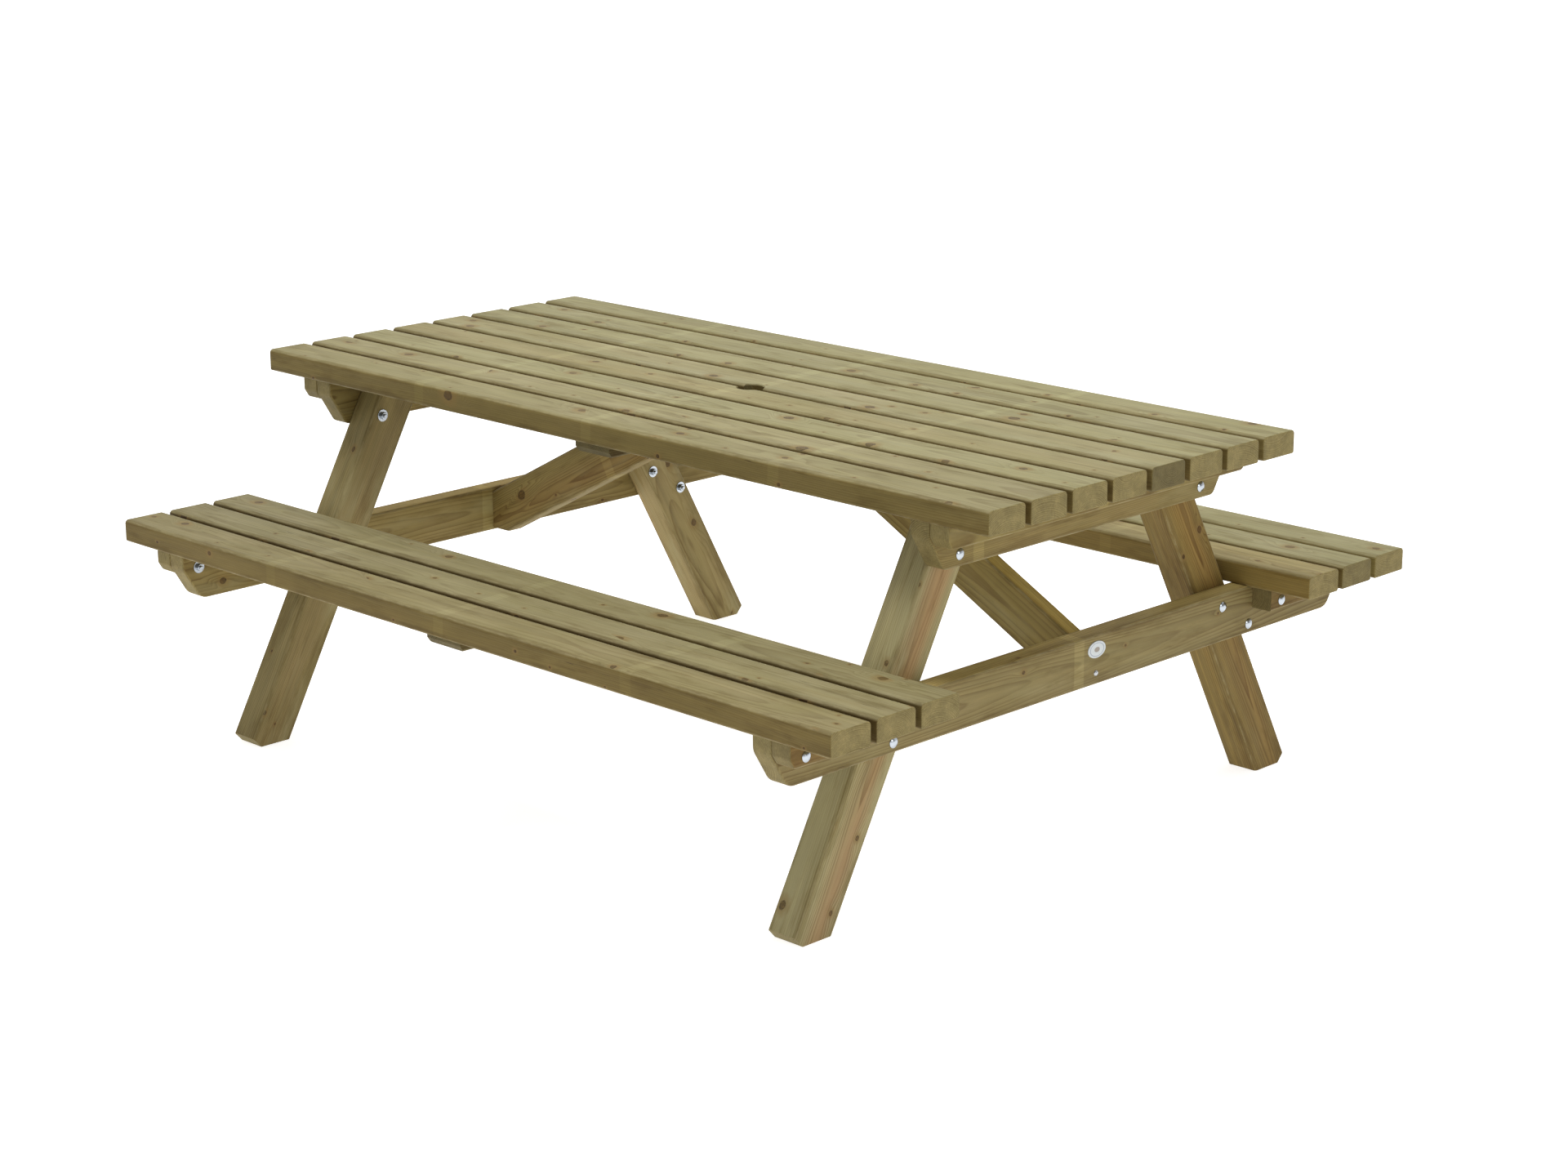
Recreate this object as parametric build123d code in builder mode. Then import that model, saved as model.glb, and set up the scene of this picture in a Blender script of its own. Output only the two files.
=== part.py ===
"""Picnic table with two fixed benches on A-frame legs, in millimetres, +Z up.

X runs along the planks, Y across them, and the origin is on the ground under the middle of the top.
"""

import os
from math import cos, radians, tan

from build123d import *

# ---- driving dimensions -------------------------------------------------------------------------
table_length = 2000.0
table_width = 860.0
table_height = 758.0
seat_height = 459.0
overall_width = 1620.0  # across both benches
seat_width = 312.0

plank_width = 95.0  # planed softwood, 45 x 95
plank_thickness = 45.0
plank_top_radius = 8.0  # upper long edges, rounded for the people who lean on them
plank_edge_radius = 4.0  # lower long edges, and the long edges of every other timber
plank_end_radius = 2.5
top_plank_count = 8
seat_plank_count = 3

frame_outer_x = 856.0  # outer face of the cross beams of each end frame
beam_thickness = 45.0
beam_height = 95.0
beam_nose = 29.0  # straight part of a beam's end, above its slanted cut
beam_cut = 40.0  # how far that slanted cut runs in along the beam
top_beam_corner_radius = 16.0
seat_beam_corner_radius = 30.0
batten_corner_radius = 9.0
top_beam_half = 419.0
seat_beam_half = 803.0

leg_width = 90.0
leg_thickness = 68.0
leg_splay = 28.5  # degrees from the vertical
leg_top_y = 325.0  # outer edge of a leg where it meets the top
leg_edge_radius = 6.0
toe_height = 20.0
toe_length = 18.0

batten_size = 45.0
batten_nose = 27.0
batten_cut = 11.0
seat_batten_inner_y = 515.0
flat_batten_width = 95.0
flat_batten_thickness = 22.0
flat_batten_cut = 8.0
top_flat_batten_half = 421.0
seat_flat_batten_outer_y = 795.0

brace_height = 95.0
brace_thickness = 38.0
brace_pitch = 27.5  # degrees below the horizontal
brace_axis_z = 774.0  # height of its centre line, carried on to the middle of the table
brace_foot_z = 324.5  # its lower end is cut level here, just above the beam's underside
brace_front_y = {"left": 8.0, "right": 22.0}

parasol_radius = 27.5
parasol_rim = 2.0

bolt_radius = 4.0  # M8 carriage bolts
bolt_hole_radius = 4.5
bolt_head_radius = 10.3
bolt_head_height = 4.9
bolt_rim_height = 1.0
bolt_dome_point = (6.4, 3.8)  # a point of the dome's outline: (radius, height)
bolt_end_bevel = 1.0
bolt_neck = 8.0  # square neck, in a square pocket
bolt_neck_depth = 5.0
bolt_stub = 4.0  # thread that stands out past the nut
washer_radius = 12.5
washer_thickness = 2.0
nut_across_flats = 13.0
nut_thickness = 6.5

screw_radius = 2.5
screw_head_radius = 4.8
screw_head_height = 2.8
screw_socket_radius = 2.0
screw_socket_depth = 1.8
screw_tip = 5.0
pan_head_radius = 5.6
pan_head_height = 3.0
pan_dome_point = (3.9, 2.1)

badge_half_width = 25.0
badge_half_height = 16.0
badge_thickness = 1.6

# ---- worked out from them -----------------------------------------------------------------------
top_gap = (table_width - top_plank_count * plank_width) / (top_plank_count - 1)
seat_screw_shift = 0.2  # the end screws move this far to the bench's middle, clear of the bolts
seat_gap = (seat_width - seat_plank_count * plank_width) / (seat_plank_count - 1)
seat_outer_y = overall_width / 2
seat_inner_y = seat_outer_y - seat_width
top_underside = table_height - plank_thickness
seat_underside = seat_height - plank_thickness
beam_inner_x = frame_outer_x - beam_thickness
leg_inner_x = beam_inner_x - leg_thickness
batten_outer_x = frame_outer_x + batten_size
batten_middle_x = frame_outer_x + batten_size / 2
leg_slope = tan(radians(leg_splay))
leg_level_width = leg_width / cos(radians(leg_splay))
brace_slope = tan(radians(brace_pitch))
brace_half_rise = brace_height / 2 / cos(radians(brace_pitch))
top_first_y = -table_width / 2 + plank_width / 2
top_plank_ys = [top_first_y + i * (plank_width + top_gap) for i in range(top_plank_count)]
seat_first_y = seat_inner_y + plank_width / 2
seat_plank_ys = [seat_first_y + i * (plank_width + seat_gap) for i in range(seat_plank_count)]
seat_middle_y = seat_inner_y + seat_width / 2
seat_end_screw_ys = [y + seat_screw_shift * (seat_middle_y - y) for y in seat_plank_ys]

sides = {"right": 1, "left": -1}  # which way along X
banks = {"front": -1, "back": 1}  # which way along Y

# ---- where the bolts and screws go: (|y|, z) ----------------------------------------------------
top_bolt_spots = [(339.0, 640.5)]
seat_bolt_spots = [(421.0, 389.0), (505.5, 338.0)]
batten_bolt_spots = [(548.0, 386.5), (766.0, 386.5)]
batten_screw_ys = (-150.0, 0.0, 150.0)
batten_screw_z = top_underside - batten_size / 2
batten_screw_length = 80.0
plank_screw_bite = 30.0  # how deep a screw goes into the plank above
flat_batten_screw_x = 28.0
brace_pan_z = 341.0
brace_flush_z = 386.5
brace_screw_length = 75.0
brace_tip_screw_x = 105.0
brace_tip_screw_length = 70.0
brace_tip_recess = 6.0  # how deep its head sits in the brace's slanting lower face
tolerance = 0.01


def timber_profile(outline, corners, radius):
    """A sketch of a cross timber's outline, with some of its corners, given by index, rounded."""
    with BuildSketch() as profile:
        with BuildLine():
            Polyline(*outline, close=True)
        make_face()
        spots = [Vector(*outline[i]) for i in corners]
        chosen = [v for v in profile.vertices() if min((Vector(v) - s).length for s in spots) < tolerance]
        fillet(chosen, radius)
    return profile.sketch


def long_edges(part, axis):
    """The straight edges of a part that run along one of the world's axes."""
    return part.edges().filter_by(axis)


def cut_bolt_hole(x, y, z, side, depth):
    """A round hole along X with a square pocket for the bolt's neck in the outer face."""
    mouth = Plane(origin=(side * x, y, z), x_dir=(0, 1, 0), z_dir=(side, 0, 0))
    with Locations(mouth):
        Cylinder(bolt_hole_radius, depth, align=(Align.CENTER, Align.CENTER, Align.MAX), mode=Mode.SUBTRACT)
        Box(
            bolt_neck,
            bolt_neck,
            bolt_neck_depth,
            align=(Align.CENTER, Align.CENTER, Align.MAX),
            mode=Mode.SUBTRACT,
        )


def cut_round_hole(plane, radius, depth):
    """A plain hole that goes against the plane's own direction."""
    with Locations(plane):
        Cylinder(radius, depth, align=(Align.CENTER, Align.CENTER, Align.MAX), mode=Mode.SUBTRACT)


def cut_screw_hole(plane, depth):
    """A screw's pilot hole with its countersink; the plane lies on the surface and faces outwards."""
    with Locations(plane):
        Cylinder(screw_radius, depth, align=(Align.CENTER, Align.CENTER, Align.MAX), mode=Mode.SUBTRACT)
        Cone(
            screw_radius,
            screw_head_radius,
            screw_head_height,
            align=(Align.CENTER, Align.CENTER, Align.MAX),
            mode=Mode.SUBTRACT,
        )


def facing_down(x, y, z):
    """A plane that looks down from a surface's underside."""
    return Plane(origin=(x, y, z), x_dir=(1, 0, 0), z_dir=(0, 0, -1))


def facing_along(x, y, z, direction):
    """A plane that looks along +X or -X."""
    return Plane(origin=(x, y, z), x_dir=(0, 1, 0), z_dir=(direction, 0, 0))


def plank_holes(y, end_y):
    """The pilot holes of a plank: one over each end batten and two over the middle one."""
    ends = [(side * batten_middle_x, end_y) for side in sides.values()]
    middle = [(side * flat_batten_screw_x, y) for side in sides.values()]
    return ends + middle


def end_batten_screws(ys, z, side):
    """Where the screws of an end batten start, one under each plank."""
    return [facing_down(side * batten_middle_x, y, z) for y in ys]


def flat_batten_screws(ys, z):
    """Where the screws of a flat middle batten start, two under each plank."""
    return [facing_down(x, y, z) for y in ys for x in (-flat_batten_screw_x, flat_batten_screw_x)]


def save(part, name):
    part.label = name
    export_step(part, f"parts/{name}.step")


# ---- timbers ------------------------------------------------------------------------------------
def make_plank(name, y, top_z, pilot_holes, parasol=False):
    """One plank of the top or of a bench, with its pilot holes and, in the middle, the parasol hole."""
    underside = top_z - plank_thickness
    with BuildPart() as plank:
        with BuildSketch(Plane.YZ.offset(-table_length / 2)) as section:
            with Locations((y, top_z - plank_thickness / 2)):
                Rectangle(plank_width, plank_thickness)
            fillet(section.vertices().group_by(Axis.Y)[-1], plank_top_radius)
            fillet(section.vertices().group_by(Axis.Y)[0], plank_edge_radius)
        extrude(amount=table_length)
        for end in (plank.faces().sort_by(Axis.X)[0], plank.faces().sort_by(Axis.X)[-1]):
            fillet(end.edges(), plank_end_radius)
        with Locations(*[(hole_x, hole_y, underside) for hole_x, hole_y in pilot_holes]):
            Cylinder(
                screw_radius,
                plank_screw_bite,
                align=(Align.CENTER, Align.CENTER, Align.MIN),
                mode=Mode.SUBTRACT,
            )
        if parasol:
            with Locations((0, 0, top_z)):
                CounterSinkHole(parasol_radius, parasol_radius + parasol_rim)
    save(plank.part, name)


def beam_outline(half, top_z, height, nose, cut):
    """The side view of a cross timber: square at the top, cut back on a slant at both lower ends."""
    bottom_z = top_z - height
    return [
        (-half, top_z),
        (half, top_z),
        (half, top_z - nose),
        (half - cut, bottom_z),
        (-half + cut, bottom_z),
        (-half, top_z - nose),
    ]


def make_beam(name, half, top_z, corner_radius, side, bolt_spots, screws, plain_holes=()):
    """A cross beam of an end frame, on the outside of the legs."""
    outline = beam_outline(half, top_z, beam_height, beam_nose, beam_cut)
    with BuildPart() as beam:
        with BuildSketch(Plane.YZ.offset(side * beam_inner_x)):
            add(timber_profile(outline, (2, 3, 4, 5), corner_radius))
        extrude(amount=side * beam_thickness)
        fillet(long_edges(beam, Axis.Y), plank_edge_radius)
        for y, z in bolt_spots:
            for bank in banks.values():
                cut_bolt_hole(frame_outer_x, bank * y, z, side, beam_thickness)
        for plane in screws:
            cut_screw_hole(plane, beam_thickness)
        for plane in plain_holes:
            cut_round_hole(plane, screw_radius, beam_thickness)
    save(beam.part, name)


def make_leg(name, side, bank):
    """A splayed leg: level at the top and at the foot, with its toe cut back."""
    foot_y = leg_top_y + leg_slope * top_underside
    outline = [
        (bank * (leg_top_y - leg_level_width), top_underside),
        (bank * leg_top_y, top_underside),
        (bank * (foot_y - leg_slope * toe_height), toe_height),
        (bank * (foot_y - leg_slope * toe_height - toe_length), 0),
        (bank * (foot_y - leg_level_width), 0),
    ]
    with BuildPart() as leg:
        with BuildSketch(Plane.YZ.offset(side * leg_inner_x)):
            with BuildLine():
                Polyline(*outline, close=True)
            make_face()
        extrude(amount=side * leg_thickness)
        sloping = leg.edges().filter_by(lambda edge: edge.length > top_underside)
        fillet(sloping, leg_edge_radius)
        for y, z in top_bolt_spots + seat_bolt_spots:
            hole = facing_along(side * beam_inner_x, bank * y, z, side)
            cut_round_hole(hole, bolt_hole_radius, leg_thickness)
    save(leg.part, name)


def make_top_batten(name, side):
    """The square batten under the top's planks, outside the top beam."""
    outline = beam_outline(top_beam_half, top_underside, batten_size, batten_nose, batten_cut)
    with BuildPart() as batten:
        with BuildSketch(Plane.YZ.offset(side * frame_outer_x)):
            add(timber_profile(outline, (2, 3, 4, 5), batten_corner_radius))
        extrude(amount=side * batten_size)
        fillet(long_edges(batten, Axis.Y), plank_edge_radius)
        for plane in end_batten_screws(top_plank_ys, top_underside - batten_size, side):
            cut_screw_hole(plane, batten_size)
        for y in batten_screw_ys:
            hole = facing_along(side * frame_outer_x, y, batten_screw_z, -side)
            cut_round_hole(hole, screw_radius, batten_screw_length - beam_thickness)
    save(batten.part, name)


def make_seat_batten(name, side, bank):
    """The square batten under one end of a bench, outside the seat beam and bolted to it."""
    bottom_z = seat_underside - batten_size
    outline = [
        (bank * seat_batten_inner_y, seat_underside),
        (bank * seat_beam_half, seat_underside),
        (bank * seat_beam_half, seat_underside - batten_nose),
        (bank * (seat_beam_half - batten_cut), bottom_z),
        (bank * seat_batten_inner_y, bottom_z),
    ]
    with BuildPart() as batten:
        with BuildSketch(Plane.YZ.offset(side * frame_outer_x)):
            add(timber_profile(outline, (2, 3), batten_corner_radius))
        extrude(amount=side * batten_size)
        fillet(long_edges(batten, Axis.Y), plank_edge_radius)
        ys = [bank * y for y in seat_end_screw_ys]
        for plane in end_batten_screws(ys, bottom_z, side):
            cut_screw_hole(plane, batten_size)
        for y, z in batten_bolt_spots:
            cut_bolt_hole(batten_outer_x, bank * y, z, side, batten_size)
    save(batten.part, name)


def make_flat_batten(name, low_y, high_y, top_z, plank_ys, low_cut, high_cut, hole=False):
    """A flat batten across the middle of the planks, screwed to every one of them."""
    bottom_z = top_z - flat_batten_thickness
    outline = [
        (low_y, top_z),
        (high_y, top_z),
        (high_y, top_z - flat_batten_thickness / 2),
        (high_y - high_cut, bottom_z),
        (low_y + low_cut, bottom_z),
        (low_y, top_z - flat_batten_thickness / 2),
    ]
    with BuildPart() as batten:
        with BuildSketch(Plane.YZ.offset(-flat_batten_width / 2)):
            with BuildLine():
                Polyline(*outline, close=True)
            make_face()
        extrude(amount=flat_batten_width)
        fillet(long_edges(batten, Axis.Y), plank_edge_radius)
        for plane in flat_batten_screws(plank_ys, bottom_z):
            cut_screw_hole(plane, flat_batten_thickness)
        if hole:
            with Locations((0, 0, top_z)):
                Hole(parasol_radius)
    save(batten.part, name)


def brace_screw_planes(name):
    """Where the heads of a brace's three screws sit: the pan head, the flush head and the tip's."""
    side = sides[name]
    y = brace_front_y[name] + brace_thickness / 2
    pan = facing_along(side * frame_outer_x, y, brace_pan_z, side)
    flush = facing_along(side * frame_outer_x, y, brace_flush_z, side)
    tip_z = brace_axis_z - brace_half_rise - brace_slope * brace_tip_screw_x + brace_tip_recess
    tip = facing_down(side * brace_tip_screw_x, y, tip_z)
    return pan, flush, tip


def make_brace(name):
    """A diagonal brace on edge, from a seat beam's inner face up to the middle batten."""
    side = sides[name]
    foot_x = (brace_axis_z - brace_half_rise - brace_foot_z) / brace_slope
    tip_top_x = (brace_axis_z + brace_half_rise - top_underside) / brace_slope
    tip_x = flat_batten_width / 2
    outline = [
        (side * tip_x, top_underside),
        (side * tip_top_x, top_underside),
        (side * beam_inner_x, brace_axis_z + brace_half_rise - brace_slope * beam_inner_x),
        (side * beam_inner_x, brace_foot_z),
        (side * foot_x, brace_foot_z),
        (side * tip_x, brace_axis_z - brace_half_rise - brace_slope * tip_x),
    ]
    pan, flush, tip = brace_screw_planes(name)
    with BuildPart() as brace:
        with BuildSketch(Plane.XZ.offset(-brace_front_y[name])):
            with BuildLine():
                Polyline(*outline, close=True)
            make_face()
        extrude(amount=-brace_thickness)
        sloping = brace.edges().filter_by(lambda edge: edge.length > table_length / 4)
        fillet(sloping, plank_edge_radius)
        for plane in (pan, flush):
            cut_round_hole(plane, screw_radius, brace_screw_length)
        cut_round_hole(tip, screw_radius, brace_screw_length)
        with Locations(tip):
            Cylinder(
                screw_head_radius,
                screw_head_height,
                align=(Align.CENTER, Align.CENTER, Align.MAX),
                mode=Mode.SUBTRACT,
            )
            Cylinder(
                screw_head_radius,
                brace_height,
                align=(Align.CENTER, Align.CENTER, Align.MIN),
                mode=Mode.SUBTRACT,
            )
    save(brace.part, f"brace_{name}")


# ---- fasteners: each is made once, pointing down from its head's plane, then set in its places ----
def carriage_bolt(length):
    """A domed head, a square neck and a plain shank with a bevelled end."""
    with BuildPart() as bolt:
        with BuildSketch(Plane.XZ):
            with BuildLine():
                ThreePointArc((0, bolt_head_height), bolt_dome_point, (bolt_head_radius, bolt_rim_height))
                Polyline(
                    (bolt_head_radius, bolt_rim_height),
                    (bolt_head_radius, 0),
                    (bolt_radius, 0),
                    (bolt_radius, bolt_end_bevel - length),
                    (bolt_radius - bolt_end_bevel, -length),
                    (0, -length),
                    (0, bolt_head_height),
                )
            make_face()
        revolve(axis=Axis.Z)
        Box(bolt_neck, bolt_neck, bolt_neck_depth, align=(Align.CENTER, Align.CENTER, Align.MAX))
    return bolt.part


def washer():
    """A broad round washer that lies on the wood."""
    with BuildPart() as ring:
        with BuildSketch():
            Circle(washer_radius)
            Circle(bolt_hole_radius, mode=Mode.SUBTRACT)
        extrude(amount=washer_thickness)
    return ring.part


def nut():
    """A hexagon nut that sits on its washer, its outer corners turned off."""
    with BuildPart() as hexagon:
        with BuildSketch(Plane.XY.offset(washer_thickness)):
            RegularPolygon(nut_across_flats / 2, 6, major_radius=False)
        extrude(amount=nut_thickness)
        with Locations((0, 0, washer_thickness)):
            Cone(
                nut_across_flats / 2 + nut_thickness,
                nut_across_flats / 2,
                nut_thickness,
                align=(Align.CENTER, Align.CENTER, Align.MIN),
                mode=Mode.INTERSECT,
            )
        with Locations((0, 0, washer_thickness)):
            Cylinder(
                bolt_radius,
                nut_thickness,
                align=(Align.CENTER, Align.CENTER, Align.MIN),
                mode=Mode.SUBTRACT,
            )
    return hexagon.part


def flush_screw(length):
    """A countersunk wood screw with a hexagon socket."""
    with BuildPart() as screw:
        with BuildSketch(Plane.XZ):
            with BuildLine():
                Polyline(
                    (0, 0),
                    (screw_head_radius, 0),
                    (screw_radius, -screw_head_height),
                    (screw_radius, screw_tip - length),
                    (0, -length),
                    close=True,
                )
            make_face()
        revolve(axis=Axis.Z)
        with BuildSketch():
            RegularPolygon(screw_socket_radius, 6)
        extrude(amount=-screw_socket_depth, mode=Mode.SUBTRACT)
    return screw.part


def pan_screw(length):
    """A wood screw whose low domed head stands on the wood."""
    with BuildPart() as screw:
        with BuildSketch(Plane.XZ):
            with BuildLine():
                ThreePointArc((0, pan_head_height), pan_dome_point, (pan_head_radius, 0))
                Polyline(
                    (pan_head_radius, 0),
                    (screw_radius, 0),
                    (screw_radius, screw_tip - length),
                    (0, -length),
                    (0, pan_head_height),
                )
            make_face()
        revolve(axis=Axis.Z)
        with BuildSketch(Plane.XY.offset(pan_head_height)):
            RegularPolygon(screw_socket_radius, 6)
        extrude(amount=-screw_socket_depth, mode=Mode.SUBTRACT)
    return screw.part


def set_out(name, piece, planes):
    """Identical fasteners in one group, each a solid of its own on its plane."""
    with BuildPart() as group:
        with Locations(*planes):
            add(piece)
    save(group.part, name)


def joint_planes(x, spots, outwards):
    """A joint's places on both frames and both sides of the table; outwards is 1, inwards is -1."""
    return [
        facing_along(side * x, bank * y, z, side * outwards)
        for side in sides.values()
        for bank in banks.values()
        for y, z in spots
    ]


def make_bolts():
    """The bolts, washers and nuts of the end frames."""
    tail = washer_thickness + nut_thickness + bolt_stub
    frame_bolt = carriage_bolt(beam_thickness + leg_thickness + tail)
    batten_bolt = carriage_bolt(batten_size + beam_thickness + tail)
    set_out("top_beam_bolts", frame_bolt, joint_planes(frame_outer_x, top_bolt_spots, 1))
    set_out("seat_beam_bolts", frame_bolt, joint_planes(frame_outer_x, seat_bolt_spots, 1))
    set_out("seat_batten_bolts", batten_bolt, joint_planes(batten_outer_x, batten_bolt_spots, 1))
    leg_planes = joint_planes(leg_inner_x, top_bolt_spots + seat_bolt_spots, -1)
    batten_planes = joint_planes(beam_inner_x, batten_bolt_spots, -1)
    set_out("leg_washers", washer(), leg_planes)
    set_out("leg_nuts", nut(), leg_planes)
    set_out("seat_batten_washers", washer(), batten_planes)
    set_out("seat_batten_nuts", nut(), batten_planes)


def make_screws():
    """The wood screws under the top and the benches, and those of the braces."""
    square_length = batten_size + plank_screw_bite
    flat_length = flat_batten_thickness + plank_screw_bite
    seat_ys = [bank * y for bank in banks.values() for y in seat_plank_ys]
    seat_end_ys = [bank * y for bank in banks.values() for y in seat_end_screw_ys]
    groups = (
        ("top", top_plank_ys, top_plank_ys, top_underside),
        ("seat", seat_ys, seat_end_ys, seat_underside),
    )
    for group, ys, end_ys, underside in groups:
        ends = []
        for side in sides.values():
            ends += end_batten_screws(end_ys, underside - batten_size, side)
        flats = flat_batten_screws(ys, underside - flat_batten_thickness)
        set_out(f"{group}_end_screws", flush_screw(square_length), ends)
        set_out(f"{group}_middle_screws", flush_screw(flat_length), flats)

    inner = [
        facing_along(side * beam_inner_x, y, batten_screw_z, -side)
        for side in sides.values()
        for y in batten_screw_ys
    ]
    set_out("top_batten_screws", flush_screw(batten_screw_length), inner)
    pans, flushes, tips = zip(*(brace_screw_planes(name) for name in sides))
    set_out("brace_pan_screws", pan_screw(brace_screw_length), pans)
    set_out("brace_flush_screws", flush_screw(brace_screw_length), flushes)
    set_out("brace_tip_screws", flush_screw(brace_tip_screw_length), tips)


def make_badge():
    """A plain oval badge on the outside of the right seat beam, over the brace's flush screw."""
    plane = brace_screw_planes("right")[1]
    with BuildPart() as badge:
        with BuildSketch(plane):
            Ellipse(badge_half_width, badge_half_height)
        extrude(amount=badge_thickness)
        fillet(badge.faces().sort_by(Axis.X)[-1].edges(), badge_thickness / 2)
    save(badge.part, "badge")


def main():
    os.makedirs("parts", exist_ok=True)

    middle_planks = (top_plank_count // 2 - 1, top_plank_count // 2)
    tips = [brace_screw_planes(side_name)[2].origin for side_name in sides]
    for i, y in enumerate(top_plank_ys):
        over_tips = [(tip.X, tip.Y) for tip in tips if abs(tip.Y - y) < plank_width / 2]
        holes = plank_holes(y, y) + over_tips
        make_plank(f"top_plank_{i + 1}", y, table_height, holes, parasol=i in middle_planks)
    for bank_name, bank in banks.items():
        for i, (y, end_y) in enumerate(zip(seat_plank_ys, seat_end_screw_ys)):
            holes = plank_holes(bank * y, bank * end_y)
            make_plank(f"seat_plank_{bank_name}_{i + 1}", bank * y, seat_height, holes)

    for side_name, side in sides.items():
        pan, flush, _ = brace_screw_planes(side_name)
        inner = [facing_along(side * beam_inner_x, y, batten_screw_z, -side) for y in batten_screw_ys]
        size = (top_beam_half, top_underside, top_beam_corner_radius)
        make_beam(f"top_beam_{side_name}", *size, side, top_bolt_spots, inner)
        size = (seat_beam_half, seat_underside, seat_beam_corner_radius)
        spots = seat_bolt_spots + batten_bolt_spots
        make_beam(f"seat_beam_{side_name}", *size, side, spots, [flush], [pan])
        make_top_batten(f"top_batten_{side_name}", side)
        for bank_name, bank in banks.items():
            make_leg(f"leg_{side_name}_{bank_name}", side, bank)
            make_seat_batten(f"seat_batten_{side_name}_{bank_name}", side, bank)
        make_brace(side_name)

    half, cut = top_flat_batten_half, flat_batten_cut
    make_flat_batten("middle_batten_top", -half, half, top_underside, top_plank_ys, cut, cut, hole=True)
    inner_y, outer_y = seat_batten_inner_y, seat_flat_batten_outer_y
    front_ys = [-y for y in seat_plank_ys]
    make_flat_batten("middle_batten_front", -outer_y, -inner_y, seat_underside, front_ys, cut, 0.0)
    make_flat_batten("middle_batten_back", inner_y, outer_y, seat_underside, seat_plank_ys, 0.0, cut)

    make_bolts()
    make_screws()
    make_badge()


if __name__ == "__main__":
    main()
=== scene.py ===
"""The looks of a picnic table: treated softwood, zinc fittings, a plain studio and the camera.

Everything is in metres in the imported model's own frame: X along the planks, Y across, Z up.
"""

import math
import random

import bpy
from mathutils import Matrix, Vector


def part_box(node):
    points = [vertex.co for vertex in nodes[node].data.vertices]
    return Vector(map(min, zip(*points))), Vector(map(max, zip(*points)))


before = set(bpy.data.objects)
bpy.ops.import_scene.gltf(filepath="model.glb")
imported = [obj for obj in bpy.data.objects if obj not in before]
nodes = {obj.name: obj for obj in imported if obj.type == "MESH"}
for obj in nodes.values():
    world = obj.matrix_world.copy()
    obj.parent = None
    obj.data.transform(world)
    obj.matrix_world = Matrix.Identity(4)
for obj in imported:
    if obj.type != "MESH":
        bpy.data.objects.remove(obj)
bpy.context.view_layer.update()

# ---- the timbers' own directions ----------------------------------------------------------------
LEG_SPLAY = math.radians(28.5)
BRACE_PITCH = math.radians(27.5)
X, Y, Z = Vector((1, 0, 0)), Vector((0, 1, 0)), Vector((0, 0, 1))
SIDES = {"right": 1, "left": -1}
BANKS = {"front": -1, "back": 1}


def directions(name):
    """Unit vectors along a timber's grain, across its face and through its thickness."""
    if name.startswith("leg"):
        bank = BANKS[name.split("_")[2]]
        along = Vector((0, bank * math.sin(LEG_SPLAY), -math.cos(LEG_SPLAY)))
        return along, X.cross(along), X
    if name.startswith("brace"):
        side = SIDES[name.split("_")[1]]
        along = Vector((side * math.cos(BRACE_PITCH), 0, -math.sin(BRACE_PITCH)))
        return along, Y.cross(along), Y
    if "plank" in name:
        return X, Y, Z
    if name.startswith("middle_batten"):
        return Y, -X, Z
    return Y, Z, X


def extent(name, direction):
    """Lowest and highest reach of a CAD node along a direction."""
    reach = [vertex.co.dot(direction) for vertex in nodes[name].data.vertices]
    return min(reach), max(reach)


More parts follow.
